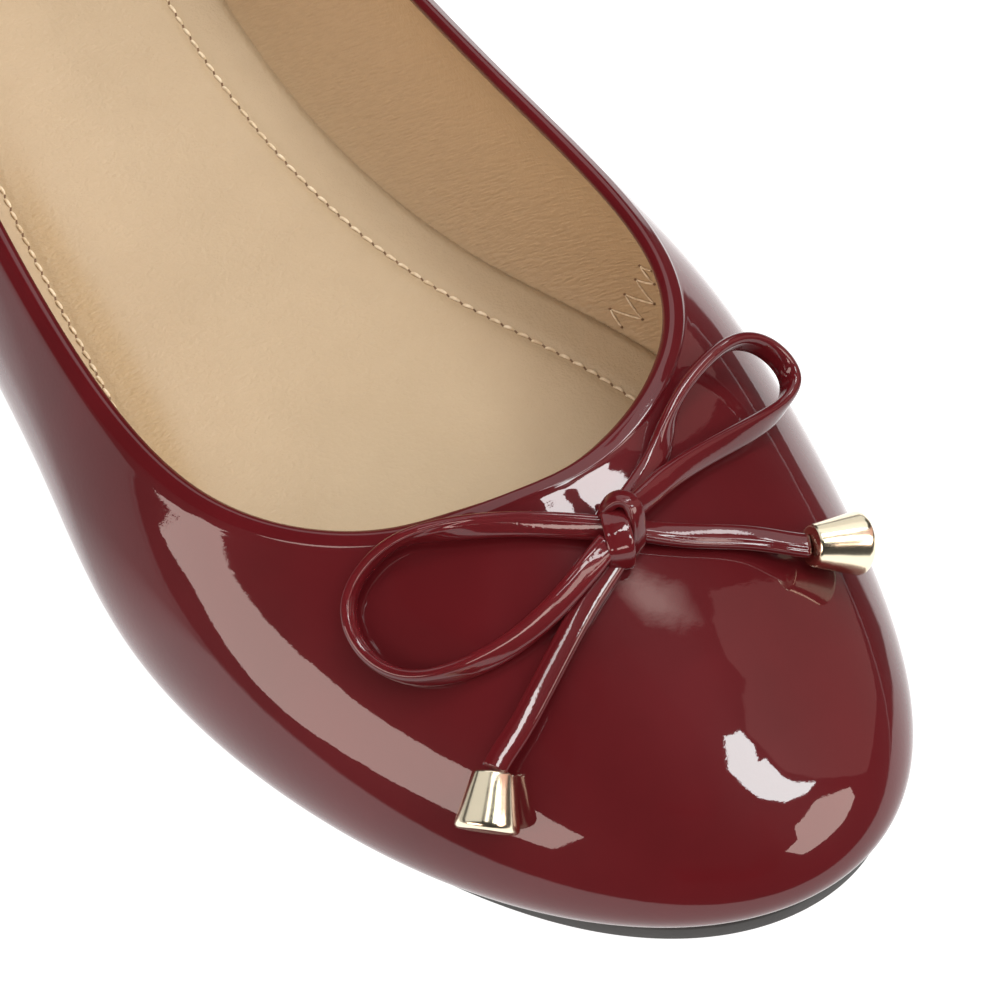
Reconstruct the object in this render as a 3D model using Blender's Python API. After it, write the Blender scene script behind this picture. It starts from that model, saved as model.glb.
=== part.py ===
"""Ballet flat with a bow, right shoe, standing empty on its sole.

Metres, +Z up, toe to +Y, inner (medial) side to -X. The shoe is worked out with the back of the
heel at the origin, then one parent centres it over the floor.
"""
import math
from collections import namedtuple

import bmesh
import bpy
import numpy as np
from mathutils import Vector
from mathutils.bvhtree import BVHTree

MM = 0.001

# Driving sizes of the last
LENGTH = 248 * MM           # heel to toe along the line where upper meets sole
BALL_WIDTH = 80 * MM        # width across the ball along the same line
COLLAR_BACK = 56 * MM       # collar edge above the floor at the back of the heel
THROAT_HEIGHT = 37 * MM     # collar edge above the floor at the throat, over the instep
HEEL_HEIGHT = 9 * MM
TOE_SPRING = 8 * MM

# Sole
SOLE_THICKNESS = 2.6 * MM
SOLE_INSET = 1.3 * MM       # sole edge inside the line where upper meets sole
SOLE_ROUND = 0.5 * MM
HEEL_BREAST = 0.24          # share of LENGTH where the heel block ends
TREAD_FRONT = 0.72          # the forefoot lies flat between these two shares of LENGTH
TREAD_BACK = 0.60
HEEL_TAPER = 0.8 * MM
BREAST_CURVE = 5 * MM

# Upper and collar
WALL = 1.8 * MM
TUCK = 2.4 * MM             # how far the wall turns under on to the sole
TUCK_SHARPNESS = 12
BINDING_WIDTH = 2.8 * MM

# Insole
FOOTBED = 4.8 * MM          # top of the insole above the sole
FOOTBED_INSET = 9 * MM      # where its underside comes down on the sole

# Bow
STRAP_WIDTH = 3.0 * MM
STRAP_THICKNESS = 1.6 * MM
KNOT_ACROSS = -0.063        # share of BALL_WIDTH
KNOT_FORWARD = 0.839        # share of LENGTH
KNOT_LENGTH = 9.0 * MM
KNOT_WIDTH = 5.2 * MM
KNOT_HEIGHT = 4.8 * MM
KNOT_TURN = math.radians(-31)
TIP_LENGTH = 6.7 * MM
TIP_NECK = 4.9 * MM
TIP_MOUTH = 7.4 * MM

# Clearance between curved pieces that touch on the real shoe
GAP = 0.3 * MM

# Facets
ROUND_STEPS = 72
WALL_OUTSIDE = (0, 0.02, 0.06, 0.13, 0.25, 0.4, 0.55, 0.7, 0.85, 1)
WALL_INSIDE = (1, 0.8, 0.6, 0.4, 0.22, 0.1, 0)
BINDING_SIDES = 8
STRAP_SIDES = 8
TIP_SIDES = 16
KNOT_SIDES = 14
BREAST_STEPS = 8
HEEL_STEPS = 36
VAMP_ROWS = 25              # rows of the wall that the bow is laid over
SEARCH_STEPS = 120          # places up the wall or round the back where a height or length is looked up

# Stations round the shoe, from the back of the heel along the inner side to the toe and back.
# along and rim_along are shares of LENGTH, across, rim_across, bulge and reach of BALL_WIDTH,
# rise and drop of THROAT_HEIGHT. lift is the share of the way from THROAT_HEIGHT to COLLAR_BACK.
# bulge and rise lead the wall away from the sole, reach and drop lead it down from the collar.
Station = namedtuple("Station", "name along across bulge rise rim_along rim_across lift reach drop")
STATIONS = (
    Station("heel back", 0.000, 0.000, 0.03, 0.43, 0.014, 0.000, 1.00, 0.01, 0.38),
    Station("heel corner in", 0.032, -0.230, 0.03, 0.43, 0.036, -0.190, 0.95, 0.01, 0.38),
    Station("heel side in", 0.140, -0.315, 0.04, 0.40, 0.135, -0.290, 0.63, 0.03, 0.33),
    Station("rear waist in", 0.320, -0.245, 0.07, 0.38, 0.315, -0.302, 0.24, 0.06, 0.30),
    Station("waist in", 0.464, -0.235, 0.10, 0.35, 0.454, -0.324, 0.05, 0.06, 0.27),
    Station("fore waist in", 0.588, -0.345, 0.07, 0.33, 0.580, -0.362, -0.05, 0.06, 0.27),
    Station("ball in", 0.713, -0.495, 0.04, 0.30, 0.702, -0.376, -0.05, 0.09, 0.24),
    Station("toe side in", 0.869, -0.455, 0.04, 0.27, 0.768, -0.264, 0.00, 0.16, 0.22),
    Station("toe corner in", 0.972, -0.286, 0.08, 0.22, 0.792, -0.124, 0.00, 0.25, 0.19),
    Station("toe tip", 1.000, -0.060, 0.09, 0.22, 0.796, -0.010, 0.00, 0.30, 0.19),
    Station("toe corner out", 0.964, 0.166, 0.09, 0.22, 0.786, 0.111, -0.08, 0.25, 0.19),
    Station("toe side out", 0.865, 0.360, 0.12, 0.22, 0.765, 0.243, -0.19, 0.16, 0.22),
    Station("ball out", 0.716, 0.485, 0.09, 0.22, 0.700, 0.377, -0.34, 0.10, 0.24),
    Station("fore waist out", 0.590, 0.440, 0.08, 0.24, 0.590, 0.409, -0.32, 0.06, 0.27),
    Station("waist out", 0.463, 0.390, 0.09, 0.32, 0.458, 0.378, -0.16, 0.05, 0.27),
    Station("rear waist out", 0.324, 0.346, 0.05, 0.38, 0.316, 0.341, 0.13, 0.03, 0.30),
    Station("heel side out", 0.140, 0.325, 0.04, 0.40, 0.135, 0.295, 0.58, 0.03, 0.33),
    Station("heel corner out", 0.032, 0.230, 0.03, 0.43, 0.036, 0.190, 0.92, 0.01, 0.38),
)

# Points along the bow's straps, each over a foot on the vamp. across and forward are shares of
# BALL_WIDTH and LENGTH from the knot, lift is the strap's middle over the vamp as a share of
# STRAP_WIDTH, and turn is how far the strap stands on its edge, in degrees.
StrapPoint = namedtuple("StrapPoint", "across forward lift turn")
LOOP_LATERAL = (
    StrapPoint(0.034, -0.009, 0.60, 35),
    StrapPoint(0.108, -0.025, 0.60, 30),
    StrapPoint(0.205, -0.044, 0.85, 60),
    StrapPoint(0.261, -0.052, 0.85, 85),
    StrapPoint(0.303, -0.052, 0.75, 88),
    StrapPoint(0.355, -0.043, 0.65, 90),
    StrapPoint(0.367, -0.024, 0.62, 92),
    StrapPoint(0.339, -0.002, 0.62, 100),
    StrapPoint(0.278, 0.012, 0.58, 120),
    StrapPoint(0.181, 0.017, 0.62, 145),
    StrapPoint(0.080, 0.010, 1.00, 160),
    StrapPoint(0.056, 0.007, 1.05, 170),
)
LOOP_MEDIAL = (
    StrapPoint(-0.059, -0.016, 0.40, -10),
    StrapPoint(-0.121, -0.029, 0.42, -20),
    StrapPoint(-0.162, -0.042, 0.55, -55),
    StrapPoint(-0.195, -0.052, 0.70, -80),
    StrapPoint(-0.243, -0.062, 1.05, -88),
    StrapPoint(-0.292, -0.068, 1.50, -90),
    StrapPoint(-0.332, -0.062, 1.75, -90),
    StrapPoint(-0.344, -0.048, 1.60, -92),
    StrapPoint(-0.326, -0.038, 1.20, -105),
    StrapPoint(-0.292, -0.031, 0.90, -125),
    StrapPoint(-0.230, -0.025, 0.65, -145),
    StrapPoint(-0.150, -0.019, 0.70, -150),
    StrapPoint(-0.095, -0.014, 0.90, -155),
    StrapPoint(-0.058, -0.010, 1.00, -150),
)
TAIL_LATERAL = (
    StrapPoint(0.052, 0.014, 0.42, 0),
    StrapPoint(0.083, 0.019, 0.40, 0),
    StrapPoint(0.127, 0.027, 0.42, 0),
    StrapPoint(0.210, 0.042, 0.62, 0),
    StrapPoint(0.261, 0.050, 0.82, 0),
    StrapPoint(0.295, 0.054, 0.96, 0),
    StrapPoint(0.332, 0.070, 1.45, 0),
)
TAIL_MEDIAL = (
    StrapPoint(-0.038, 0.003, 0.45, 20),
    StrapPoint(-0.086, 0.011, 0.40, 5),
    StrapPoint(-0.133, 0.017, 0.42, 0),
    StrapPoint(-0.188, 0.025, 0.60, 0),
    StrapPoint(-0.232, 0.034, 1.00, 0),
    StrapPoint(-0.297, 0.038, 1.50, 0),
)

# Shares of the way from the turned edge up to the footbed where the insole's side has a ring
INSOLE_RINGS = (0.0, 0.3, 0.65, 1.0)
FOOTBED_REACH = 0.6         # share of the wall's height that is above the footbed all round

# Metal cap: share of its length, share of the way from neck to mouth, share of the width rounded off
TipRing = namedtuple("TipRing", "length flare rounding")
TIP_PROFILE = (
    TipRing(0, 0, 0.06), TipRing(0.04, 0.02, 0), TipRing(0.86, 1, 0), TipRing(0.95, 1, 0.05), TipRing(1, 1, 0.16),
)

# Knot: places of its rings, from -1 at the collar's end to 1 at the toe's end
KNOT_RINGS = (-1, -0.93, -0.75, -0.45, -0.2, -0.08, 0.08, 0.3, 0.55, 0.78, 0.93, 1)
KNOT_NARROWING = 0.8        # how much its ends draw in
KNOT_GROOVE = 0.12          # depth, place and length of the groove between its turns, as shares

# Colours, roughness and metal from the photo
PATENT = ("burgundy_patent", (0.085, 0.006, 0.012, 1), 0.08, 0.0)
TAN = ("tan_lining", (0.56, 0.36, 0.20, 1), 0.55, 0.0)
BLACK = ("black_sole", (0.015, 0.015, 0.017, 1), 0.5, 0.0)
GOLD = ("pale_gold", (0.80, 0.62, 0.33, 1), 0.15, 1.0)

UP = np.array((0.0, 0.0, 1.0))


# Curves

def closed_curve(values):
    """Smooth closed curve through evenly spaced values, as a function of the share round it."""
    v = np.asarray(values, float)
    n = len(v)
    system = 4 * np.eye(n) + np.roll(np.eye(n), 1, axis=1) + np.roll(np.eye(n), -1, axis=1)
    bend = np.linalg.solve(system, 6 * (np.roll(v, -1) - 2 * v + np.roll(v, 1)))

    def at(share):
        place = (np.asarray(share) % 1.0) * n
        i = np.floor(place).astype(int) % n
        f = place - np.floor(place)
        j = (i + 1) % n
        curve = ((1 - f) ** 3 - (1 - f)) * bend[i] + (f ** 3 - f) * bend[j]
        return v[i] * (1 - f) + v[j] * f + curve / 6

    return at


def open_curve(places, values):
    """Smooth curve through values at rising places, straight at both ends."""
    x = np.asarray(places, float)
    v = np.asarray(values, float)
    n = len(x)
    h = np.diff(x)
    slope = np.diff(v, axis=0) / h[:, None]
    system = np.eye(n)
    right = np.zeros_like(v)
    for k in range(1, n - 1):
        system[k, k - 1:k + 2] = (h[k - 1], 2 * (h[k - 1] + h[k]), h[k])
        right[k] = 6 * (slope[k] - slope[k - 1])
    bend = np.linalg.solve(system, right)

    def at(place):
        place = np.asarray(place, float)
        i = np.clip(np.searchsorted(x, place) - 1, 0, n - 2)
        a = ((x[i + 1] - place) / h[i])[:, None]
        b = 1 - a
        curve = ((a ** 3 - a) * bend[i] + (b ** 3 - b) * bend[i + 1]) * (h[i] ** 2)[:, None]
        return a * v[i] + b * v[i + 1] + curve / 6

    return at


def unit(vectors):
    return vectors / np.linalg.norm(vectors, axis=-1, keepdims=True)


def ease(x):
    x = np.clip(x, 0, 1)
    return x * x * (3 - 2 * x)


# Form of the last

COLUMN = {
    field: closed_curve([getattr(station, field) for station in STATIONS])
    for field in Station._fields[1:]
}


def ground(y):
    """Height of the sole's underside: flat under the heel and the ball, with arch and toe spring."""
    along = y / LENGTH
    toe = np.clip((along - TREAD_FRONT) / (1 - TREAD_FRONT), 0, None)
    arch = ease((TREAD_BACK - along) / (TREAD_BACK - HEEL_BREAST))
    return TOE_SPRING * toe ** 2 + HEEL_HEIGHT * arch


def plan(u):
    """Line where upper meets sole, seen from above."""
    return np.stack([COLUMN["across"](u) * BALL_WIDTH, COLUMN["along"](u) * LENGTH], -1)


def rim_plan(u):
    return np.stack([COLUMN["rim_across"](u) * BALL_WIDTH, COLUMN["rim_along"](u) * LENGTH], -1)


def outward(line, u, step=0.001):
    """Level direction that points out of a closed line."""
    along = line(u + step) - line(u - step)
    return unit(np.stack([-along[..., 1], along[..., 0], np.zeros(along.shape[:-1])], -1))


def sole_line(u, inset, height):
    """Line round the sole, inset from the upper's edge, at a height over the sole's underside."""
    flat = plan(u) - outward(plan, u)[..., :2] * inset
    return np.concatenate([flat, (ground(flat[..., 1]) + height)[..., None]], -1)


def collar_lean(u):
    """From the collar down the outside of the wall."""
    level = outward(plan, u) * (COLUMN["reach"](u) * BALL_WIDTH)[..., None]
    return level - UP * (COLUMN["drop"](u) * THROAT_HEIGHT)[..., None]


def collar_seat(u):
    """Middle of the collar's binding, with the directions out of the wall and up along it."""
    height = THROAT_HEIGHT + (COLLAR_BACK - THROAT_HEIGHT) * COLUMN["lift"](u)
    edge = np.concatenate([rim_plan(u), height[..., None]], -1)
    side = outward(rim_plan, u)
    up_wall = unit(-collar_lean(u))
    out = unit(side - (side * up_wall).sum(-1, keepdims=True) * up_wall)
    return edge + side * BINDING_WIDTH / 2, out, up_wall


def wall(u, t):
    """Outside of the upper: u goes round the shoe, t from the sole (0) to the collar (1)."""
    t = np.asarray(t, float)[..., None]
    foot = sole_line(u, 0, SOLE_THICKNESS + GAP)
    side = outward(plan, u)
    middle, out, up_wall = collar_seat(u)
    top = middle - up_wall * (GAP + BINDING_WIDTH / 2) + out * WALL / 2
    low = foot + side * (COLUMN["bulge"](u) * BALL_WIDTH)[..., None]
    low = low + UP * (COLUMN["rise"](u) * THROAT_HEIGHT)[..., None]
    high = top + collar_lean(u)
    s = 1 - t
    curve = foot * s ** 3 + 3 * low * t * s ** 2 + 3 * high * t * t * s + top * t ** 3
    return curve - side * TUCK * s ** TUCK_SHARPNESS


def wall_normal(u, t, step=0.001):
    t = np.broadcast_to(np.asarray(t, float), np.shape(u))
    around = wall(u + step, t) - wall(u - step, t)
    upward = wall(u, np.minimum(t + step, 1)) - wall(u, np.maximum(t - step, 0))
    return unit(np.cross(upward, around))


def inside(u, t, depth):
    """Point below the outside of the wall."""
    t = np.broadcast_to(np.asarray(t, float), np.shape(u))
    return wall(u, t) - wall_normal(u, t) * depth


# Solids from rings of points

def make_object(name, points, faces, material):
    mesh = bpy.data.meshes.new(name)
    bm = bmesh.new()
    corners = [bm.verts.new(p) for p in points]
    for face in faces:
        bm.faces.new([corners[i] for i in face])
    bmesh.ops.recalc_face_normals(bm, faces=bm.faces)
    bm.to_mesh(mesh)
    bm.free()
    mesh.shade_smooth()
    mesh.set_sharp_from_angle(angle=math.radians(40))
    mesh.materials.append(material)
    piece = bpy.data.objects.new(name, mesh)
    bpy.context.collection.objects.link(piece)
    return piece


def between_rings(rings, closed):
    """Faces between neighbouring rings, each ring closed in itself."""
    count = len(rings[0])
    faces = []
    for r in range(len(rings) if closed else len(rings) - 1):
        a = r * count
        b = ((r + 1) % len(rings)) * count
        faces += [(a + k, a + (k + 1) % count, b + (k + 1) % count, b + k) for k in range(count)]
    return faces


def across_ring(first, count):
    """Faces that close a ring by rungs from one side of the shoe to the other."""
    half = count // 2
    faces = [(first, first + 1, first + count - 1)]
    for k in range(1, half - 1):
        faces.append((first + k, first + k + 1, first + count - k - 1, first + count - k))
    faces.append((first + half - 1, first + half, first + half + 1))
    return faces


def hoop(name, rings, material):
    """Solid whose section is closed and which closes round the shoe."""
    return make_object(name, np.concatenate(rings), between_rings(rings, True), material)


def slab(name, rings, material):
    """Solid between a lowest and a highest ring, closed across both."""
    count = len(rings[0])
    faces = between_rings(rings, False)
    faces += across_ring(0, count) + across_ring((len(rings) - 1) * count, count)
    return make_object(name, np.concatenate(rings), faces, material)


def rod(name, rings, material):
    """Solid along a row of rings with a flat face at each end."""
    count = len(rings[0])
    last = (len(rings) - 1) * count
    faces = between_rings(rings, False)
    faces += [tuple(range(count)), tuple(range(last, last + count))]
    return make_object(name, np.concatenate(rings), faces, material)


def make_material(name, colour, roughness, metallic):
    material = bpy.data.materials.new(name)
    material.use_nodes = True
    surface = material.node_tree.nodes["Principled BSDF"]
    surface.inputs["Base Color"].default_value = colour
    surface.inputs["Roughness"].default_value = roughness
    surface.inputs["Metallic"].default_value = metallic
    material.diffuse_color = colour
    return material


# Pieces of the shoe

ROUND = np.arange(ROUND_STEPS) / ROUND_STEPS


def make_upper(material):
    rings = [wall(ROUND, np.full(ROUND_STEPS, t)) for t in WALL_OUTSIDE]
    rings += [inside(ROUND, t, WALL) for t in WALL_INSIDE]
    return hoop("upper", rings, material)


def make_binding(material):
    middle, out, up_wall = collar_seat(ROUND)
    rings = []
    for k in range(BINDING_SIDES):
        angle = 2 * math.pi * k / BINDING_SIDES
        rings.append(middle + (out * math.cos(angle) + up_wall * math.sin(angle)) * BINDING_WIDTH / 2)
    return hoop("topline_binding", rings, material)


def make_outsole(material):
    edge = SOLE_INSET + SOLE_ROUND
    rings = [
        sole_line(ROUND, edge, 0),
        sole_line(ROUND, SOLE_INSET, SOLE_ROUND),
        sole_line(ROUND, SOLE_INSET, SOLE_THICKNESS - SOLE_ROUND),
        sole_line(ROUND, edge, SOLE_THICKNESS),
    ]
    return slab("outsole", rings, material)


def make_insole(material):
    """Fits the inside of the wall from its turned edge up to the footbed."""
    steps = np.linspace(0, FOOTBED_REACH, SEARCH_STEPS + 1)
    u, t = np.meshgrid(ROUND, steps, indexing="ij")
    side = inside(u, t, WALL + GAP)
    height = side[..., 2] - ground(side[..., 1]) - SOLE_THICKNESS
    rings = [sole_line(ROUND, FOOTBED_INSET, SOLE_THICKNESS + GAP)]
    lowest = height[:, 0]
    for share in INSOLE_RINGS:
        wanted = lowest + (FOOTBED - lowest) * share
        at = np.array([np.interp(w, h, steps) for w, h in zip(wanted, height)])
        rings.append(inside(ROUND, at, WALL + GAP))
    return slab("insole", rings, material)


def make_heel(material):
    """Block under the back of the sole, hollowed a little at its breast."""
    u = np.linspace(-0.25, 0.25, 8 * SEARCH_STEPS + 1)
    y = sole_line(u, SOLE_INSET, 0)[:, 1]
    breast = HEEL_BREAST * LENGTH
    behind = u[y < breast]
    round_back = np.linspace(behind[0], behind[-1], HEEL_STEPS + 1)
    rings = []
    for height, inset in ((0, HEEL_TAPER), (HEEL_HEIGHT - GAP, 0)):
        back = sole_line(round_back, SOLE_INSET + SOLE_ROUND + inset, 0)
        share = np.linspace(0, 1, BREAST_STEPS + 1)[1:-1, None]
        front = back[-1] + (back[0] - back[-1]) * share
        front[:, 1] -= BREAST_CURVE * 4 * share[:, 0] * (1 - share[:, 0])
        ring = np.concatenate([back, front])
        ring[:, 2] = height
        rings.append(ring)
    return rod("heel", rings, material)


# The bow

class Vamp:
    """Looks straight down on the upper and its collar to find the foot of a strap point."""

    def __init__(self):
        u = np.arange(2 * ROUND_STEPS) / (2 * ROUND_STEPS)
        rows = [wall(u, np.full(len(u), t)) for t in np.linspace(0, 1, VAMP_ROWS)]
        up_wall = collar_seat(u)[2]
        rows.append(rows[-1] + up_wall * (BINDING_WIDTH + GAP))
        faces = between_rings(rows, False)
        points = [Vector(p) for p in np.concatenate(rows)]
        self.tree = BVHTree.FromPolygons(points, faces)

    def over(self, x, y, height):
        """Point over the foot at x, y, and the direction out of the leather there."""
        above = Vector((x, y, COLLAR_BACK + THROAT_HEIGHT))
        foot, normal, _, _ = self.tree.ray_cast(above, Vector((0, 0, -1)))
        normal = np.array(normal) * math.copysign(1, normal.z)
        return np.array(foot) + normal * height, normal


def strap_route(vamp, points):
    """Curve through the strap's points: place, direction out of the vamp and turn."""
    rows = []
    for point in points:
        x = (KNOT_ACROSS + point.across) * BALL_WIDTH
        y = (KNOT_FORWARD + point.forward) * LENGTH
        place, normal = vamp.over(x, y, point.lift * STRAP_WIDTH)
        rows.append(np.concatenate([place, normal, [math.radians(point.turn)]]))
    rows = np.array(rows)
    steps = np.linalg.norm(np.diff(rows[:, :3], axis=0), axis=1)
    places = np.concatenate([[0], np.cumsum(steps)])
    return open_curve(places, rows), places[-1]


def strap_sections(curve, start, end, step=0.5 * MM):
    """Middle, sideways and outward directions at each section of a strap."""
    count = max(4, round((end - start) / STRAP_WIDTH) + 1)
    s = np.linspace(start, end, count)
    rows = curve(s)
    along = unit(curve(s + step)[:, :3] - curve(s - step)[:, :3])
    out = rows[:, 3:6]
    out = unit(out - (out * along).sum(-1, keepdims=True) * along)
    side = np.cross(along, out)
    turn = rows[:, 6:7]
    flat = side * np.cos(turn) + out * np.sin(turn)
    face = out * np.cos(turn) - side * np.sin(turn)
    return rows[:, :3], flat, face


def make_strap(name, vamp, points, material, tip=0):
    curve, length = strap_route(vamp, points)
    middle, flat, face = strap_sections(curve, 0, length - tip)
    rings = []
    for k in range(len(middle)):
        ring = []
        for side in range(STRAP_SIDES):
            angle = 2 * math.pi * side / STRAP_SIDES
            ring.append(middle[k] + flat[k] * math.cos(angle) * STRAP_WIDTH / 2
                        + face[k] * math.sin(angle) * STRAP_THICKNESS / 2)
        rings.append(np.array(ring))
    return rod(name, rings, material)


def make_tip(name, vamp, points, material):
    """Flared cap on the end of a tail, on the line from the strap's end to its last point."""
    curve, length = strap_route(vamp, points)
    ends = curve(np.array([length - TIP_LENGTH - GAP, length]))[:, :3]
    axis = unit(ends[1] - ends[0])
    neck = ends[0] + axis * GAP
    level = unit(np.cross(axis, UP))
    other = np.cross(level, axis)
    rings = []
    for place in TIP_PROFILE:
        width = (TIP_NECK + (TIP_MOUTH - TIP_NECK) * place.flare) * (1 - place.rounding)
        ring = []
        for k in range(TIP_SIDES):
            angle = 2 * math.pi * k / TIP_SIDES
            spoke = level * math.cos(angle) + other * math.sin(angle)
            ring.append(neck + axis * TIP_LENGTH * place.length + spoke * width / 2)
        rings.append(np.array(ring))
    return rod(name, rings, material)


def make_knot(vamp, material):
    """Strap wrapped over the crossing: a barrel with a groove between its turns."""
    x = KNOT_ACROSS * BALL_WIDTH
    y = KNOT_FORWARD * LENGTH
    middle, normal = vamp.over(x, y, GAP + KNOT_HEIGHT / 2)
    along = np.array((-math.sin(KNOT_TURN), math.cos(KNOT_TURN), 0))
    along = unit(along - (along @ normal) * normal)
    side = np.cross(along, normal)
    rings = []
    for share in KNOT_RINGS:
        girth = (1 - KNOT_NARROWING * share ** 4) ** 0.5
        groove = 1 - KNOT_GROOVE * math.exp(-(share / KNOT_GROOVE + 1) ** 2)
        ring = []
        for k in range(KNOT_SIDES):
            angle = 2 * math.pi * k / KNOT_SIDES
            spoke = side * math.cos(angle) * KNOT_WIDTH / 2
            spoke = spoke + normal * math.sin(angle) * KNOT_HEIGHT / 2
            ring.append(middle + along * share * KNOT_LENGTH / 2 + spoke * girth * groove)
        rings.append(np.array(ring))
    return rod("bow_knot", rings, material)


# Assembly

def clear_scene():
    for item in list(bpy.data.objects):
        bpy.data.objects.remove(item, do_unlink=True)


def centre_on_floor(pieces):
    """Stand the shoe with the middle of its box over the origin."""
    corners = np.concatenate([[v.co[:] for v in piece.data.vertices] for piece in pieces])
    low = corners.min(axis=0)
    high = corners.max(axis=0)
    shoe = bpy.data.objects.new("shoe", None)
    bpy.context.collection.objects.link(shoe)
    shoe.location = (-(low[0] + high[0]) / 2, -(low[1] + high[1]) / 2, -low[2])
    for piece in pieces:
        piece.parent = shoe


def main():
    clear_scene()
    patent = make_material(*PATENT)
    tan = make_material(*TAN)
    black = make_material(*BLACK)
    gold = make_material(*GOLD)
    vamp = Vamp()
    pieces = [
        make_outsole(black),
        make_heel(black),
        make_upper(patent),
        make_binding(patent),
        make_insole(tan),
        make_knot(vamp, patent),
        make_strap("bow_loop_lateral", vamp, LOOP_LATERAL, patent),
        make_strap("bow_loop_medial", vamp, LOOP_MEDIAL, patent),
    ]
    for side, points in (("lateral", TAIL_LATERAL), ("medial", TAIL_MEDIAL)):
        pieces.append(make_strap("bow_tail_" + side, vamp, points, patent, tip=TIP_LENGTH + GAP))
        pieces.append(make_tip("bow_tip_" + side, vamp, points, gold))
    centre_on_floor(pieces)


main()
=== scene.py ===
"""Looks of the ballet flat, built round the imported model. Metres, +Z up, toe to +Y, inner side to -X."""
import math
from collections import namedtuple

import bmesh
import bpy
import numpy as np
from mathutils import Matrix, Vector
from mathutils.bvhtree import BVHTree


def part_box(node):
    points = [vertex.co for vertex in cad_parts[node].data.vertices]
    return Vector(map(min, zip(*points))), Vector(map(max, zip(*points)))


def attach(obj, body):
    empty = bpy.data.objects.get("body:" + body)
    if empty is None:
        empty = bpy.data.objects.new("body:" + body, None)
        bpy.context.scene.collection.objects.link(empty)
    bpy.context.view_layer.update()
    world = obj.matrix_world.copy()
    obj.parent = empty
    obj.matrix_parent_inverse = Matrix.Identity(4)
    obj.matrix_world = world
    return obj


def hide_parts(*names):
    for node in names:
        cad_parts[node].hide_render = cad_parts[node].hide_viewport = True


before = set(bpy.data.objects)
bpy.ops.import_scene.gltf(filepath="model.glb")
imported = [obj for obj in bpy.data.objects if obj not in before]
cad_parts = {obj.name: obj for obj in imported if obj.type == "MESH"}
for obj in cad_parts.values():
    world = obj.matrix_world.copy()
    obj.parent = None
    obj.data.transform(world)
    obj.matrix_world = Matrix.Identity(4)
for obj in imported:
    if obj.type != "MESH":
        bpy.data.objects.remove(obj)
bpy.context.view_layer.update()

MM = 0.001

# Sizes of the last and its pieces, the same as in the model's source
LENGTH = 248 * MM
BALL_WIDTH = 80 * MM
COLLAR_BACK = 56 * MM
THROAT_HEIGHT = 37 * MM
HEEL_HEIGHT = 9 * MM
TOE_SPRING = 8 * MM
SOLE_THICKNESS = 2.6 * MM
SOLE_INSET = 1.3 * MM
SOLE_ROUND = 0.5 * MM
HEEL_BREAST = 0.24
TREAD_FRONT = 0.72
TREAD_BACK = 0.60
HEEL_TAPER = 0.8 * MM
BREAST_CURVE = 5 * MM
WALL = 1.8 * MM
TUCK = 2.4 * MM
TUCK_SHARPNESS = 12
BINDING_WIDTH = 2.8 * MM
FOOTBED = 4.8 * MM
FOOTBED_INSET = 9 * MM
STRAP_WIDTH = 3.0 * MM
STRAP_THICKNESS = 1.6 * MM
KNOT_ACROSS = -0.063
KNOT_FORWARD = 0.839
KNOT_TURN = math.radians(-31)
TIP_LENGTH = 6.7 * MM
TIP_NECK = 4.9 * MM
TIP_MOUTH = 7.4 * MM
GAP = 0.3 * MM

# Looks only
SHELL = 1.0 * MM            # patent leather, the rest of the wall is lining
AROUND = 480                # steps round the shoe


def table(kind, *rows):
    """Rows of values under the names of their columns."""
    return tuple(kind(*row) for row in rows)


Station = namedtuple("Station", "name along across bulge rise rim_along rim_across lift reach drop")
STATIONS = table(
    Station,
    ("heel back", 0.000, 0.000, 0.03, 0.43, 0.014, 0.000, 1.00, 0.01, 0.38),
    ("heel corner in", 0.032, -0.230, 0.03, 0.43, 0.036, -0.190, 0.95, 0.01, 0.38),
    ("heel side in", 0.140, -0.315, 0.04, 0.40, 0.135, -0.290, 0.63, 0.03, 0.33),
    ("rear waist in", 0.320, -0.245, 0.07, 0.38, 0.315, -0.302, 0.24, 0.06, 0.30),
    ("waist in", 0.464, -0.235, 0.10, 0.35, 0.454, -0.324, 0.05, 0.06, 0.27),
    ("fore waist in", 0.588, -0.345, 0.07, 0.33, 0.580, -0.362, -0.05, 0.06, 0.27),
    ("ball in", 0.713, -0.495, 0.04, 0.30, 0.702, -0.376, -0.05, 0.09, 0.24),
    ("toe side in", 0.869, -0.455, 0.04, 0.27, 0.768, -0.264, 0.00, 0.16, 0.22),
    ("toe corner in", 0.972, -0.286, 0.08, 0.22, 0.792, -0.124, 0.00, 0.25, 0.19),
    ("toe tip", 1.000, -0.060, 0.09, 0.22, 0.796, -0.010, 0.00, 0.30, 0.19),
    ("toe corner out", 0.964, 0.166, 0.09, 0.22, 0.786, 0.111, -0.08, 0.25, 0.19),
    ("toe side out", 0.865, 0.360, 0.12, 0.22, 0.765, 0.243, -0.19, 0.16, 0.22),
    ("ball out", 0.716, 0.485, 0.09, 0.22, 0.700, 0.377, -0.34, 0.10, 0.24),
    ("fore waist out", 0.590, 0.440, 0.08, 0.24, 0.590, 0.409, -0.32, 0.06, 0.27),
    ("waist out", 0.463, 0.390, 0.09, 0.32, 0.458, 0.378, -0.16, 0.05, 0.27),
    ("rear waist out", 0.324, 0.346, 0.05, 0.38, 0.316, 0.341, 0.13, 0.03, 0.30),
    ("heel side out", 0.140, 0.325, 0.04, 0.40, 0.135, 0.295, 0.58, 0.03, 0.33),
    ("heel corner out", 0.032, 0.230, 0.03, 0.43, 0.036, 0.190, 0.92, 0.01, 0.38),
)

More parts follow.
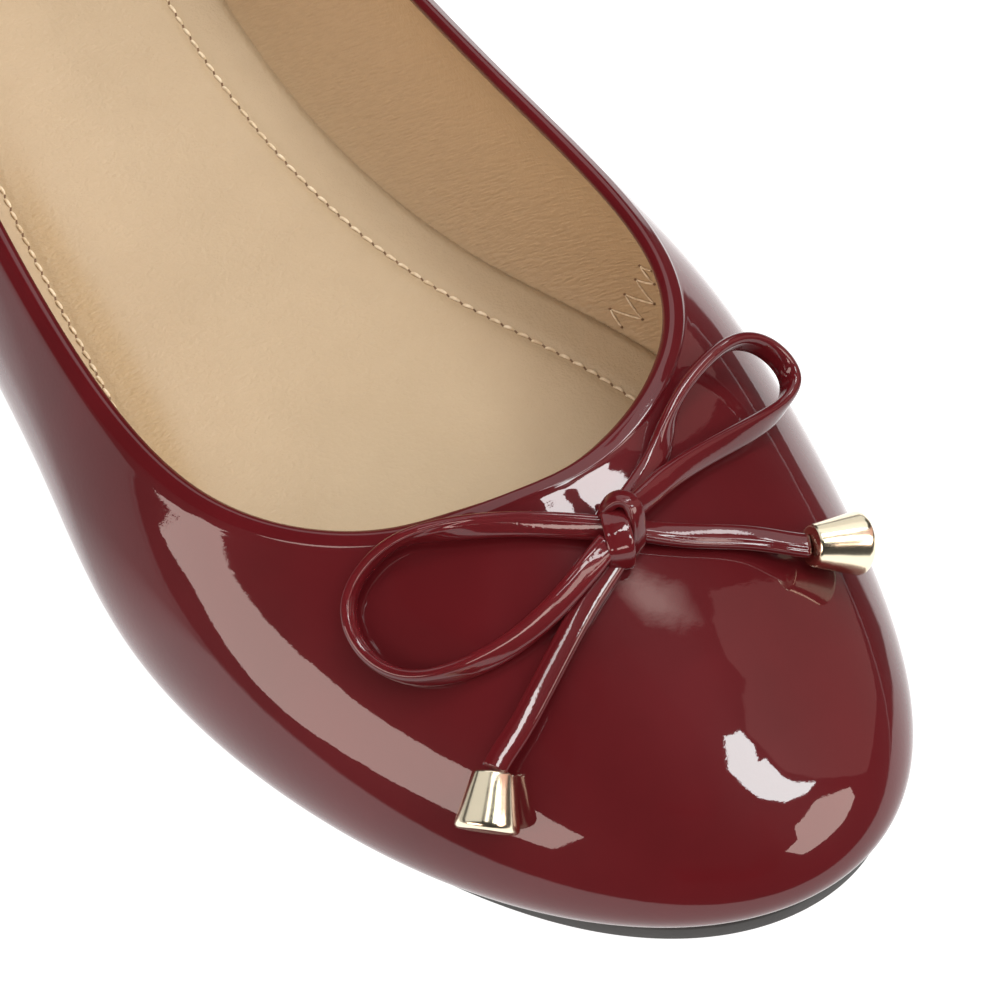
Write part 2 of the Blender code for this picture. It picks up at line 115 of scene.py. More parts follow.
StrapPoint = namedtuple("StrapPoint", "across forward lift turn")
LOOP_LATERAL = table(
    StrapPoint,
    (0.034, -0.009, 0.60, 35), (0.108, -0.025, 0.60, 30), (0.205, -0.044, 0.85, 60), (0.261, -0.052, 0.85, 85),
    (0.303, -0.052, 0.75, 88), (0.355, -0.043, 0.65, 90), (0.367, -0.024, 0.62, 92), (0.339, -0.002, 0.62, 100),
    (0.278, 0.012, 0.58, 120), (0.181, 0.017, 0.62, 145), (0.080, 0.010, 1.00, 160), (0.056, 0.007, 1.05, 170)
)
LOOP_MEDIAL = table(
    StrapPoint,
    (-0.059, -0.016, 0.40, -10), (-0.121, -0.029, 0.42, -20), (-0.162, -0.042, 0.55, -55), (-0.195, -0.052, 0.70, -80),
    (-0.243, -0.062, 1.05, -88), (-0.292, -0.068, 1.50, -90), (-0.332, -0.062, 1.75, -90), (-0.344, -0.048, 1.60, -92),
    (-0.326, -0.038, 1.20, -105), (-0.292, -0.031, 0.90, -125), (-0.230, -0.025, 0.65, -145),
    (-0.150, -0.019, 0.70, -150), (-0.095, -0.014, 0.90, -155), (-0.058, -0.010, 1.00, -150)
)
TAIL_LATERAL = table(
    StrapPoint,
    (0.052, 0.014, 0.42, 0), (0.083, 0.019, 0.40, 0), (0.127, 0.027, 0.42, 0), (0.210, 0.042, 0.62, 0),
    (0.261, 0.050, 0.82, 0), (0.295, 0.054, 0.96, 0), (0.332, 0.070, 1.45, 0)
)
TAIL_MEDIAL = table(
    StrapPoint,
    (-0.038, 0.003, 0.45, 20), (-0.086, 0.011, 0.40, 5), (-0.133, 0.017, 0.42, 0), (-0.188, 0.025, 0.60, 0),
    (-0.232, 0.034, 1.00, 0), (-0.297, 0.038, 1.50, 0)
)

UP = np.array((0.0, 0.0, 1.0))


# Curves and the form of the last, as in the model's source

def closed_curve(values):
    """Smooth closed curve through evenly spaced values, as a function of the share round it."""
    v = np.asarray(values, float)
    n = len(v)
    system = 4 * np.eye(n) + np.roll(np.eye(n), 1, axis=1) + np.roll(np.eye(n), -1, axis=1)
    bend = np.linalg.solve(system, 6 * (np.roll(v, -1) - 2 * v + np.roll(v, 1)))

    def at(share):
        place = (np.asarray(share) % 1.0) * n
        i = np.floor(place).astype(int) % n
        f = place - np.floor(place)
        j = (i + 1) % n
        curve = ((1 - f) ** 3 - (1 - f)) * bend[i] + (f ** 3 - f) * bend[j]
        return v[i] * (1 - f) + v[j] * f + curve / 6

    return at


def open_curve(places, values):
    """Smooth curve through values at rising places, straight at both ends."""
    x = np.asarray(places, float)
    v = np.asarray(values, float)
    n = len(x)
    h = np.diff(x)
    slope = np.diff(v, axis=0) / h[:, None]
    system = np.eye(n)
    right = np.zeros_like(v)
    for k in range(1, n - 1):
        system[k, k - 1:k + 2] = (h[k - 1], 2 * (h[k - 1] + h[k]), h[k])
        right[k] = 6 * (slope[k] - slope[k - 1])
    bend = np.linalg.solve(system, right)

    def at(place):
        place = np.asarray(place, float)
        i = np.clip(np.searchsorted(x, place) - 1, 0, n - 2)
        a = ((x[i + 1] - place) / h[i])[:, None]
        b = 1 - a
        curve = ((a ** 3 - a) * bend[i] + (b ** 3 - b) * bend[i + 1]) * (h[i] ** 2)[:, None]
        return a * v[i] + b * v[i + 1] + curve / 6

    return at


def unit(vectors):
    return vectors / np.linalg.norm(vectors, axis=-1, keepdims=True)


def square_to(vectors, lines):
    """Unit vectors turned square to unit lines."""
    return unit(vectors - (vectors * lines).sum(-1, keepdims=True) * lines)


def turns(count):
    """Evenly spaced angles of a full turn, one in each row."""
    return 2 * math.pi * np.arange(count)[:, None] / count


def distances(points):
    """How far along a line each of its points is."""
    return np.concatenate([[0], np.cumsum(np.linalg.norm(np.diff(points, axis=0), axis=1))])


def ease(x):
    x = np.clip(x, 0, 1)
    return x * x * (3 - 2 * x)


COLUMN = {
    field: closed_curve([getattr(station, field) for station in STATIONS])
    for field in Station._fields[1:]
}


def ground(y):
    """Height of the sole's underside: flat under the heel and the ball, with arch and toe spring."""
    along = y / LENGTH
    toe = np.clip((along - TREAD_FRONT) / (1 - TREAD_FRONT), 0, None)
    arch = ease((TREAD_BACK - along) / (TREAD_BACK - HEEL_BREAST))
    return TOE_SPRING * toe ** 2 + HEEL_HEIGHT * arch


def plan(u, line=""):
    """Line where upper meets sole, or the collar's, seen from above."""
    return np.stack([COLUMN[line + "across"](u) * BALL_WIDTH, COLUMN[line + "along"](u) * LENGTH], -1)


def rim_plan(u):
    return plan(u, "rim_")


def outward(line, u, step=0.001):
    """Level direction that points out of a closed line."""
    along = line(u + step) - line(u - step)
    return unit(np.stack([-along[..., 1], along[..., 0], np.zeros(along.shape[:-1])], -1))


def sole_line(u, inset, height):
    """Line round the sole, inset from the upper's edge, at a height over the sole's underside."""
    flat = plan(u) - outward(plan, u)[..., :2] * inset
    return np.concatenate([flat, (ground(flat[..., 1]) + height)[..., None]], -1)


def collar_lean(u):
    """From the collar down the outside of the wall."""
    level = outward(plan, u) * (COLUMN["reach"](u) * BALL_WIDTH)[..., None]
    return level - UP * (COLUMN["drop"](u) * THROAT_HEIGHT)[..., None]


def collar_seat(u):
    """Middle of the collar's binding, with the directions out of the wall and up along it."""
    height = THROAT_HEIGHT + (COLLAR_BACK - THROAT_HEIGHT) * COLUMN["lift"](u)
    edge = np.concatenate([rim_plan(u), height[..., None]], -1)
    side = outward(rim_plan, u)
    up_wall = unit(-collar_lean(u))
    return edge + side * BINDING_WIDTH / 2, square_to(side, up_wall), up_wall


def wall(u, t):
    """Outside of the upper: u goes round the shoe, t from the sole (0) to the collar (1)."""
    t = np.asarray(t, float)[..., None]
    foot = sole_line(u, 0, SOLE_THICKNESS + GAP)
    side = outward(plan, u)
    middle, out, up_wall = collar_seat(u)
    top = middle - up_wall * (GAP + BINDING_WIDTH / 2) + out * WALL / 2
    low = foot + side * (COLUMN["bulge"](u) * BALL_WIDTH)[..., None]
    low = low + UP * (COLUMN["rise"](u) * THROAT_HEIGHT)[..., None]
    high = top + collar_lean(u)
    s = 1 - t
    curve = foot * s ** 3 + 3 * low * t * s ** 2 + 3 * high * t * t * s + top * t ** 3
    return curve - side * TUCK * s ** TUCK_SHARPNESS


def wall_normal(u, t, step=0.001):
    t = np.broadcast_to(np.asarray(t, float), np.shape(u))
    around = wall(u + step, t) - wall(u - step, t)
    upward = wall(u, np.minimum(t + step, 1)) - wall(u, np.maximum(t - step, 0))
    return unit(np.cross(upward, around))


def inside(u, t, depth):
    """Point below the outside of the wall."""
    t = np.broadcast_to(np.asarray(t, float), np.shape(u))
    return wall(u, t) - wall_normal(u, t) * depth


# Place of the shoe in the model's frame, from the collar's binding

MODEL_STEPS = 72
MODEL_SIDES = 8


def binding_ring(u, angle):
    middle, out, up_wall = collar_seat(u)
    return middle + (out * math.cos(angle) + up_wall * math.sin(angle)) * BINDING_WIDTH / 2


def find_place():
    """How far the model moved the shoe to centre it."""
    u = np.arange(MODEL_STEPS) / MODEL_STEPS
    rings = [binding_ring(u, 2 * math.pi * k / MODEL_SIDES) for k in range(MODEL_SIDES)]
    points = np.concatenate(rings)
    low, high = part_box("topline_binding")
    middle = (np.array(low) + np.array(high)) / 2
    return middle - (points.min(axis=0) + points.max(axis=0)) / 2


PLACE = find_place()
PLACE[2] = 0


# Meshes

def set_mask(mesh, name, values):
    """A value at each vertex, which Shader.mask reads."""
    mesh.attributes.new(name, "FLOAT", "POINT").data.foreach_set("value", np.asarray(values, np.float32))


def add_object(name, data):
    thing = bpy.data.objects.new(name, data)
    bpy.context.scene.collection.objects.link(thing)
    return thing


def turn_out(mesh):
    """Face normals point out of the closed mesh."""
    bm = bmesh.new()
    bm.from_mesh(mesh)
    bmesh.ops.recalc_face_normals(bm, faces=bm.faces)
    bm.to_mesh(mesh)
    bm.free()


def make_piece(name, points, faces, material, nodes=(), slot=None, crease=None):
    """Smooth closed piece that rides on the shoe and stands for the named nodes."""
    mesh = bpy.data.meshes.new(name)
    mesh.from_pydata((np.asarray(points) + PLACE).tolist(), [], [list(f) for f in faces])
    mesh.update()
    mesh.shade_smooth()
    mesh.materials.append(material)
    if crease is not None:
        set_mask(mesh, "crease", crease)
    piece = add_object(name, mesh)
    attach(piece, "root")
    if nodes:
        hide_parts(*nodes)
    turn_out(mesh)
    return piece


def between_rings(rows, count, closed=False):
    """Quads between neighbouring rings of count points, outside out for rings that climb."""
    faces = []
    for r in range(rows if closed else rows - 1):
        a = r * count
        b = ((r + 1) % rows) * count
        faces += [(a + k, b + k, b + (k + 1) % count, a + (k + 1) % count) for k in range(count)]
    return faces


def across_ring(first, count):
    """Quads across a level ring, from one side to the other."""
    half = count // 2
    faces = [(first, first + 1, first + count - 1)]
    for k in range(1, half - 1):
        faces.append((first + k, first + k + 1, first + count - k - 1, first + count - k))
    faces.append((first + half - 1, first + half, first + half + 1))
    return faces


def one_face(first, count):
    return [tuple(range(first, first + count))]


def skin_faces(rows, count, cover=None):
    """Faces over rings, which close on themselves or have a cover over the first and the last."""
    faces = between_rings(rows, count, closed=not cover)
    if cover:
        faces += cover(0, count) + cover((rows - 1) * count, count)
    return faces


def skin(name, rings, material, cover=None, **say):
    rings = np.array(rings)
    return make_piece(name, rings.reshape(-1, 3), skin_faces(*rings.shape[:2], cover), material, **say)


# Materials

def linear(red, green, blue):
    """Linear colour from the 0 to 255 values seen on a screen."""
    def one(value):
        value = value / 255
        return value / 12.92 if value <= 0.04045 else ((value + 0.055) / 1.055) ** 2.4
    return (one(red), one(green), one(blue), 1)


class Nodes:
    """Fills a node tree."""

    def __init__(self, tree):
        self.tree = tree

    def feed(self, socket, value):
        """A number, a colour or another node's output goes into a socket."""
        if isinstance(value, bpy.types.NodeSocket):
            self.tree.links.new(value, socket)
        else:
            socket.default_value = value

    def add(self, kind, inputs=(), **settings):
        node = self.tree.nodes.new("ShaderNode" + kind)
        for key, value in settings.items():
            setattr(node, key, value)
        for key, value in dict(inputs).items():
            self.feed(node.inputs[key], value)
        return node

    def steps(self, fac, stops):
        """Colour ramp through (place, colour or grey)."""
        node = self.add("ValToRGB", {"Fac": fac})
        elements = node.color_ramp.elements
        while len(elements) < len(stops):
            elements.new(0.5)
        for element, (at, colour) in zip(elements, stops):
            element.position = at
            element.color = colour if hasattr(colour, "__len__") else (colour, colour, colour, 1)
        return node.outputs["Color"]


class Shader(Nodes):
    """Material in object space."""

    def __init__(self, name):
        self.material = bpy.data.materials.new(name)
        self.material.use_nodes = True
        super().__init__(self.material.node_tree)
        self.surface = self.tree.nodes["Principled BSDF"]
        self.place = self.add("TexCoord").outputs["Object"]

    def set(self, **values):
        for key, value in values.items():
            self.feed(self.surface.inputs[key.replace("_", " ")], value)

    def noise(self, size, detail=2, rough=0.5, stretch=None, turn=0):
        """Noise whose features are about size metres across, stretched by these factors and turned up about X."""
        place = self.place
        if stretch:
            lean = (math.radians(turn), 0, 0)
            inputs = {"Vector": place, "Scale": stretch, "Rotation": lean}
            place = self.add("Mapping", inputs, vector_type="TEXTURE").outputs["Vector"]
        inputs = {"Vector": place, "Scale": 1 / size, "Detail": detail, "Roughness": rough}
        return self.add("TexNoise", inputs).outputs[0]

    def mask(self, name):
        """Vertex values of this name."""
        return self.add("Attribute", attribute_name=name).outputs["Fac"]

    def mix(self, fac, a, b):
        """Colour a where fac is 0, b where it is 1."""
        return self.add("Mix", {"Factor": fac, 6: a, 7: b}, data_type="RGBA").outputs[2]

    def math(self, operation, a, b):
        return self.add("Math", {0: a, 1: b}, operation=operation).outputs[0]

    def bump(self, height, distance, strength=1.0, under=None, into="Normal"):
        """Relief of this depth on the relief under it, for the surface or for its coat."""
        node = self.add("Bump", {"Height": height, "Distance": distance, "Strength": strength})
        if under is not None:
            self.feed(node.inputs["Normal"], under)
        self.feed(self.surface.inputs[into], node.outputs["Normal"])
        return node.outputs["Normal"]


def patent_leather(name, dark, bright, wave, crinkle):
    """Burgundy leather under a thick clear film. wave and crinkle are the depth in mm of its soft and fine folds."""
    s = Shader(name)
    s.set(Base_Color=s.steps(s.noise(0.014, detail=3), ((0.3, dark), (0.7, bright))), Roughness=0.42,
          Specular_IOR_Level=0.06, Coat_Weight=1.0, Coat_Roughness=0.025, Coat_IOR=1.5)
    soft = s.bump(s.noise(0.006), wave * MM, into="Coat Normal")
    fine = s.bump(s.noise(0.0011, detail=3, rough=0.6), crinkle * MM, strength=0.5, under=soft, into="Coat Normal")
    s.bump(s.noise(0.0006), 0.05 * MM, strength=0.4, under=fine)
    return s.material


def darker(colour, share):
    return tuple(value * share for value in colour[:3]) + (1,)


CREASE_SHADE = 0.09         # how far the crease lines are painted towards their shadow colour
CREASE_SHADOW_TONE = 0.55          # that painted shadow colour, as a share of the colour the mask brings in
CREASE_REST = 0.12          # depth of the creases outside the mask


def lining_leather(name, dark, bright, folded, crease):
    """Smooth undyed leather with fine grain. crease is the depth in mm of its fine slanting creases where the
    mask says, and folded is its colour there: on the sock painted shade with some dirt, on the lining a tone
    darker towards the bottom of the wall. The crease lines are also painted darker, as shade in them."""
    s = Shader(name)
    tone = s.steps(s.noise(0.03, detail=5, rough=0.6), ((0.3, dark), (0.72, bright)))
    lines = s.noise(0.00034, detail=1, rough=0.4, stretch=(3, 13, 1), turn=46)
    where = s.mask("crease")
    # crease lines painted darker as shade, over the colour that the mask brings in
    crease_shadow = s.math("MULTIPLY", where, s.steps(lines, ((0.42, 1.0), (0.56, 0.0))))
    tone = s.mix(s.math("MULTIPLY", crease_shadow, CREASE_SHADE), s.mix(where, tone, folded), darker(folded, CREASE_SHADOW_TONE))
    gloss = s.steps(s.noise(0.004, detail=3), ((0.2, 0.44), (0.8, 0.56)))
    s.set(Base_Color=tone, Roughness=gloss, Specular_IOR_Level=0.4)
    folds = s.bump(s.noise(0.0025, detail=4, rough=0.62), 0.12 * MM, strength=0.5)
    pores = s.bump(s.noise(0.0007, detail=3, rough=0.65), 0.30 * MM, strength=0.6, under=folds)
    s.bump(s.math("MULTIPLY", s.math("MAXIMUM", where, CREASE_REST), lines), crease * MM, strength=0.8, under=pores)
    return s.material


def sole_rubber(name, colour):
    s = Shader(name)
    tone = s.steps(s.noise(0.004, detail=4), ((0.3, darker(colour, 0.75)), (0.75, colour)))
    s.set(Base_Color=tone, Roughness=0.6, Specular_IOR_Level=0.4)
    s.bump(s.noise(0.0005, detail=3), 0.05 * MM, strength=0.6)
    return s.material


def gold_metal(name, colour):
    s = Shader(name)
    bright = tuple(min(1, value * 1.06) for value in colour)
    s.set(Base_Color=s.steps(s.noise(0.003), ((0.2, colour), (0.8, bright))), Metallic=1.0, Roughness=0.18)
    s.bump(s.noise(0.0012), 0.008 * MM, strength=0.5)
    return s.material


def thread(name, dark, bright):
    s = Shader(name)
    s.set(Base_Color=s.steps(s.noise(0.0009), ((0.35, dark), (0.65, bright))), Roughness=0.6)
    return s.material


# Pieces

RING = np.arange(AROUND) / AROUND

# The collar's rolled edge in mm: along the wall from the middle of the binding, and how far out of the wall it
# stands at the sides and at the throat
RimPoint = namedtuple("RimPoint", "up side throat")
RIM = table(
    RimPoint,
    (-1.45, 0.905, 0.905), (-1.15, 0.90, 0.90), (-0.85, 0.88, 0.90), (-0.60, 0.85, 0.92), (-0.42, 0.81, 0.98),
    (-0.29, 0.77, 1.03), (-0.16, 0.71, 1.02), (0.02, 0.63, 0.95), (0.26, 0.54, 0.865), (0.50, 0.44, 0.78),
    (0.74, 0.34, 0.69), (0.96, 0.24, 0.60), (1.12, 0.13, 0.48), (1.23, -0.02, 0.30), (1.29, -0.20, 0.06),
    (1.31, -0.42, -0.22), (1.31, -0.66, -0.50), (1.27, -0.88, -0.76), (1.16, -1.06, -0.99), (0.92, -1.20, -1.17),
    (0.56, -1.30, -1.29), (0.06, -1.36, -1.36), (-0.36, -1.36, -1.36), (-0.78, -1.27, -1.27), (-1.20, -1.12, -1.12),
    (-1.52, -0.96, -0.96), (-1.66, -0.82, -0.82), (-1.66, -0.40, -0.40)
)

# The throat as shares round the shoe: its middle, its reach to each side and the part of that where it fades out
THROAT_MIDDLE = 0.47
THROAT_REACH = 0.24
THROAT_FADE = 0.14
TUCK_SHARE = 0.12           # part of the wall's height where it turns in under the shoe
TUCK_ROWS = 13
WALL_ROWS = 52
SHELL_BACK_ROWS = 12
LINING_ROWS = 56
LINING_GAP = 0.02 * MM      # between the lining's back and the patent leather
CALM = 0.45                 # how much less creased the lining is at the collar than low on the wall, with less painted crease shade and less of the darker tone
CALM_FROM = 0.25            # parts of the wall's height where that begins and over which it grows
CALM_RUN = 0.6


def throat_share(u):
    """1 at the throat, 0 along the sides and the heel."""
    return ease((THROAT_REACH - np.abs(u - THROAT_MIDDLE)) / THROAT_FADE)


def make_upper(patent):
    low = np.linspace(0, TUCK_SHARE, TUCK_ROWS + 1)[:-1]
    rows = np.concatenate([low, np.linspace(TUCK_SHARE, 1, WALL_ROWS)])
    rings = [wall(RING, t) for t in rows]
    middle, out, up_wall = collar_seat(RING)
    throat = throat_share(RING)[:, None]
    for point in RIM:
        stand = point.side * (1 - throat) + point.throat * throat
        rings.append(middle + out * stand * MM + up_wall * point.up * MM)
    rings += [inside(RING, t, SHELL) for t in np.linspace(1, 0, SHELL_BACK_ROWS)]
    return skin("upper_patent", rings, patent, nodes=("upper", "topline_binding"), slot="burgundy_patent")


def make_lining(tan):
    """The inner part of the upper's wall, a little less creased to the collar, with less painted crease shade there.
    """
    outer = np.linspace(0, 1, SHELL_BACK_ROWS)
    inner = np.linspace(1, 0, LINING_ROWS)
    rings = [inside(RING, t, SHELL + LINING_GAP) for t in outer] + [inside(RING, t, WALL) for t in inner]
    crease = 1 - CALM * ease((np.concatenate([outer, inner]) - CALM_FROM) / CALM_RUN)
    return skin("upper_lining", rings, tan, nodes=("upper",), slot="tan_leather", crease=np.repeat(crease, AROUND))


SOLE_ROUND_ROWS = 5         # rows over each rounded edge of the sole
HeelRow = namedtuple("HeelRow", "height inset")
HEEL_ROWS = table(
    HeelRow,
    (0, HEEL_TAPER + 0.4 * MM), (0.15 * MM, HEEL_TAPER + 0.1 * MM), (0.5 * MM, HEEL_TAPER),
    (HEEL_HEIGHT - 0.6 * MM, 0.05 * MM), (HEEL_HEIGHT - GAP, 0.05 * MM)
)
HEEL_SEARCH = 2001          # places tried for the ends of the heel's breast
HEEL_STEPS = 121
BREAST_STEPS = 33


def make_outsole(black):
    sweep = [(1 - math.sin(turn), 1 - math.cos(turn)) for turn in np.linspace(0, math.pi / 2, SOLE_ROUND_ROWS)]
    rings = [sole_line(RING, SOLE_INSET + SOLE_ROUND * a, SOLE_ROUND * b) for a, b in sweep]
    rings += [sole_line(RING, SOLE_INSET + SOLE_ROUND * b, SOLE_THICKNESS - SOLE_ROUND * a) for a, b in sweep]
    return skin("sole", rings, black, across_ring, nodes=("outsole",), slot="black_sole")


def make_heel(black):
    u = np.linspace(-0.25, 0.25, HEEL_SEARCH)
    behind = u[sole_line(u, SOLE_INSET, 0)[:, 1] < HEEL_BREAST * LENGTH]
    round_back = np.linspace(behind[0], behind[-1], HEEL_STEPS)
    rings = []
    for height, inset in HEEL_ROWS:
        back = sole_line(round_back, SOLE_INSET + SOLE_ROUND + inset, 0)
        share = np.linspace(0, 1, BREAST_STEPS)[1:-1, None]
        front = back[-1] + (back[0] - back[-1]) * share
        front[:, 1] -= BREAST_CURVE * 4 * share[:, 0] * (1 - share[:, 0])
        ring = np.concatenate([back, front])
        ring[:, 2] = height
        rings.append(ring)
    return skin("heel_block", rings, black, one_face, nodes=("heel",), slot="black_sole")


EDGE_SEARCH_TOP = 0.6       # part of the wall's height where the sock's edge is looked for
EDGE_SEARCH = 241


def footbed_edge(u, height):
    """Where the lining's face is at a height over the sole, as a point."""
    steps = np.linspace(0, EDGE_SEARCH_TOP, EDGE_SEARCH)
    uu, tt = np.meshgrid(u, steps, indexing="ij")
    side = inside(uu, tt, WALL + GAP)
    over = side[..., 2] - ground(side[..., 1]) - SOLE_THICKNESS
    at = np.array([np.interp(height, h, steps) for h in over])
    return inside(u, at, WALL + GAP)


STITCH_INSET = 6.3 * MM     # the sock's seam
STITCH_PITCH = 2.1 * MM
SEAM_TURN = 95 * MM         # from here to the toe the seam runs further in
SEAM_FADE = 50 * MM
SOCK_EDGE_DROP = 1.1 * MM   # the sock's rounded edge, the groove of its seam and its dished middle
SOCK_EDGE_WIDTH = 1.6 * MM
GROOVE_DEPTH = 0.35 * MM
GROOVE_WIDTH = 0.7 * MM
DISH_DEPTH = 0.9 * MM
DISH_WIDTH = 18 * MM
WIDER_IN = 0.14             # how much further in the seam runs: on the inner side, there to the toe, and on the outer
WIDER_IN_FRONT = 0.08
WIDER_OUT_FRONT = 0.30
CREASE_INSET = 8.6 * MM     # the sock's creased band, painted darker with shade and some dirt
CREASE_WIDTH = 2.3 * MM
CREASE_FROM = 92 * MM
CREASE_TO = 182 * MM
CREASE_FADE = 22 * MM


def sock_top(y, inset):
    """Height of the sock, from the way in from its edge."""
    edge = SOCK_EDGE_DROP * np.clip(1 - inset / SOCK_EDGE_WIDTH, 0, 1) ** 2
    groove = GROOVE_DEPTH * np.exp(-((inset - STITCH_INSET) / GROOVE_WIDTH) ** 2)
    dish = DISH_DEPTH * ease((inset - STITCH_INSET) / DISH_WIDTH)
    return ground(y) + SOLE_THICKNESS + FOOTBED - (edge + groove + dish)


def sock_rings(insets):
    """Lines round the top of the sock, inset from its edge."""
    edge = footbed_edge(RING, FOOTBED)
    side = np.roll(edge, -1, axis=0) - np.roll(edge, 1, axis=0)
    inward = unit(np.stack([side[:, 1], -side[:, 0], 0 * side[:, 0]], -1))
    inner = 0.5 + 0.5 * np.sin(2 * math.pi * RING)
    front = ease((edge[:, 1] - SEAM_TURN) / SEAM_FADE)
    widen = 1 + inner * (WIDER_IN + WIDER_IN_FRONT * front) + (1 - inner) * WIDER_OUT_FRONT * front
    rings = []
    for inset in insets:
        ring = edge + inward * (inset * widen)[:, None]
        ring[:, 2] = sock_top(ring[:, 1], inset)
        rings.append(ring)
    return rings


def sock_crease_and_shade(points, reach):
    """Where the sock is creased and painted darker with shade and some dirt: a band inside the stitches along the
    outer waist.
    """
    band = np.exp(-((reach - CREASE_INSET) / CREASE_WIDTH) ** 2)
    place = ease((points[:, 1] - CREASE_FROM) / CREASE_FADE) * ease((CREASE_TO - points[:, 1]) / CREASE_FADE)
    return band * place * (points[:, 0] > 0)


SOCK_SIDE = (1.2 * MM, 3.0 * MM)    # heights of the lines round its side
SOCK_INSETS = np.concatenate([np.linspace(0, 2.0, 9), np.linspace(2.5, 10, 26)]) * MM
SOCK_RUNGS = 40             # steps along each line across its middle


def make_insole(tan):
    """The sock: rings in from its edge, and rungs across its middle."""
    low = [sole_line(RING, FOOTBED_INSET, SOLE_THICKNESS + GAP)] + [footbed_edge(RING, h) for h in SOCK_SIDE]
    rings = np.array(low + sock_rings(SOCK_INSETS))
    ways_in = np.repeat(np.concatenate([np.zeros(len(low)), SOCK_INSETS]), AROUND)
    points = rings.reshape(-1, 3)
    faces = between_rings(len(rings), AROUND) + across_ring(0, AROUND)
    last = (len(rings) - 1) * AROUND
    half = AROUND // 2
    here = np.arange(half + 1)
    over = -here % AROUND
    shares = np.linspace(0, 1, SOCK_RUNGS + 1)
    start, stop = rings[-1][here][:, None], rings[-1][over][:, None]
    grid = start * (1 - shares[:, None]) + stop * shares[:, None]
    reach = np.minimum(shares, 1 - shares) * np.linalg.norm(start - stop, axis=-1) + SOCK_INSETS[-1]
    grid[..., 2] = sock_top(grid[..., 1], reach)
    index = np.repeat(last + here[:, None], SOCK_RUNGS + 1, axis=1)
    index[:, -1] = last + over
    index[1:-1, 1:-1] = len(points) + np.arange((half - 1) * (SOCK_RUNGS - 1)).reshape(half - 1, -1)
    for k in range(half):
        for m in range(SOCK_RUNGS):
            face = list(dict.fromkeys((index[k, m], index[k + 1, m], index[k + 1, m + 1], index[k, m + 1])))
            if len(face) > 2:
                faces.append(face)
    points = np.concatenate([points, grid[1:-1, 1:-1].reshape(-1, 3)])
    crease = sock_crease_and_shade(points, np.concatenate([ways_in, reach[1:-1, 1:-1].ravel()]))
    sock = make_piece("sock", points, faces, tan, nodes=("insole",), slot="tan_leather", crease=crease)
    return sock


# Stitches, each kind joined into one mesh

def joined_rods(name, rows, radii, material, sides=6, flat=1.0):
    """Short rods in one mesh: rows holds the points of each rod, radii its radius at each point."""
    count, steps = rows.shape[:2]
    along = unit(rows[:, -1] - rows[:, 0])[:, None]
    across = unit(np.cross(along, UP))
    over = np.cross(across, along)
    angle = turns(sides)
    spoke = across[:, :, None] * np.cos(angle) + over[:, :, None] * flat * np.sin(angle)
    points = rows[:, :, None] + spoke * np.asarray(radii)[None, :, None, None]
    one = skin_faces(steps, sides, one_face)
    faces = [tuple(k * steps * sides + i for i in face) for k in range(count) for face in one]
    return make_piece(name, points.reshape(-1, 3), faces, material, slot="tan_leather")


# Places along a stitch from its middle to its ends, with the radius of a thread and of a hole there as a share
ROD_PLACES = np.array((-1.0, -0.7, -0.25, 0.25, 0.7, 1.0))
THREAD_ENDS = np.array((0.35, 0.85, 1.0, 1.0, 0.85, 0.35))
HOLE_ENDS = np.array((0.2, 0.75, 1.0, 1.0, 0.75, 0.2))
# Stitches along the sock's seam: shift is in stitches, slant in degrees, the rest in metres
Stitch = namedtuple("Stitch", "shift half slant rise sink radius")
SOCK_THREAD = Stitch(0.0, 0.80 * MM, 10, 0.24 * MM, 0.02 * MM, 0.24 * MM)
SOCK_HOLE = Stitch(0.5, 0.52 * MM, -22, 0.07 * MM, 0.03 * MM, 0.13 * MM)


def arches(middle, reach, up, rise, lift):
    """Points of rods that arch over their middles: reach is half a rod, lift how far its ends stand off."""
    place = ROD_PLACES[:, None]
    return middle[:, None] + reach[..., None, :] * place + up[..., None, :] * (rise * (1 - place ** 2) + lift)


def stitch_seam(thread_fibre, hole_shade):
    """Lock stitches round the sock: pale threads that dip into slanting holes, drawn as dark rods of painted shade."""
    line = sock_rings([STITCH_INSET])[0]
    closed = np.concatenate([line, line[:1]])
    far = distances(closed)
    count = round(far[-1] / STITCH_PITCH)

    def at(shift):
        s = ((np.arange(count) + shift) / count * far[-1]) % far[-1]
        return np.stack([np.interp(s, far, closed[:, i]) for i in range(3)], -1)

    def rods(stitch):
        along = unit(at(stitch.shift + 0.1) - at(stitch.shift - 0.1))
        slant = math.radians(stitch.slant)
        way = along * math.cos(slant) + unit(np.cross(UP, along)) * math.sin(slant)
        return arches(at(stitch.shift), way * stitch.half, UP, stitch.rise, -stitch.sink)

    joined_rods("sock_threads", rods(SOCK_THREAD), THREAD_ENDS * SOCK_THREAD.radius, thread_fibre)
    joined_rods("sock_hole_shades", rods(SOCK_HOLE), HOLE_ENDS * SOCK_HOLE.radius, hole_shade, flat=0.5)


# Zigzag seam on each side of the lining: round the shoe and up the wall
SeamPoint = namedtuple("SeamPoint", "round up")
ZIGZAG = table(
    SeamPoint,
    (0.3160, 0.475), (0.3123, 0.450), (0.3163, 0.403), (0.3108, 0.352), (0.3160, 0.292), (0.3080, 0.242),
    (0.3133, 0.182), (0.3050, 0.143), (0.3088, 0.100)
)
ZIGZAG_FILL = 0.96          # part of the way between two holes that a thread lies in the open
ZIGZAG_RISE = 0.16 * MM
ZIGZAG_RADIUS = 0.13 * MM
ZIGZAG_LIFT = 0.02 * MM
PIT_WAY = np.array((0, 0.7, 0.7))   # the holes at its corners, dark rods of painted shade, all point this way
PIT_HALF = 0.32 * MM
PIT_RADIUS = 0.17 * MM
PIT_LIFT = 0.03 * MM


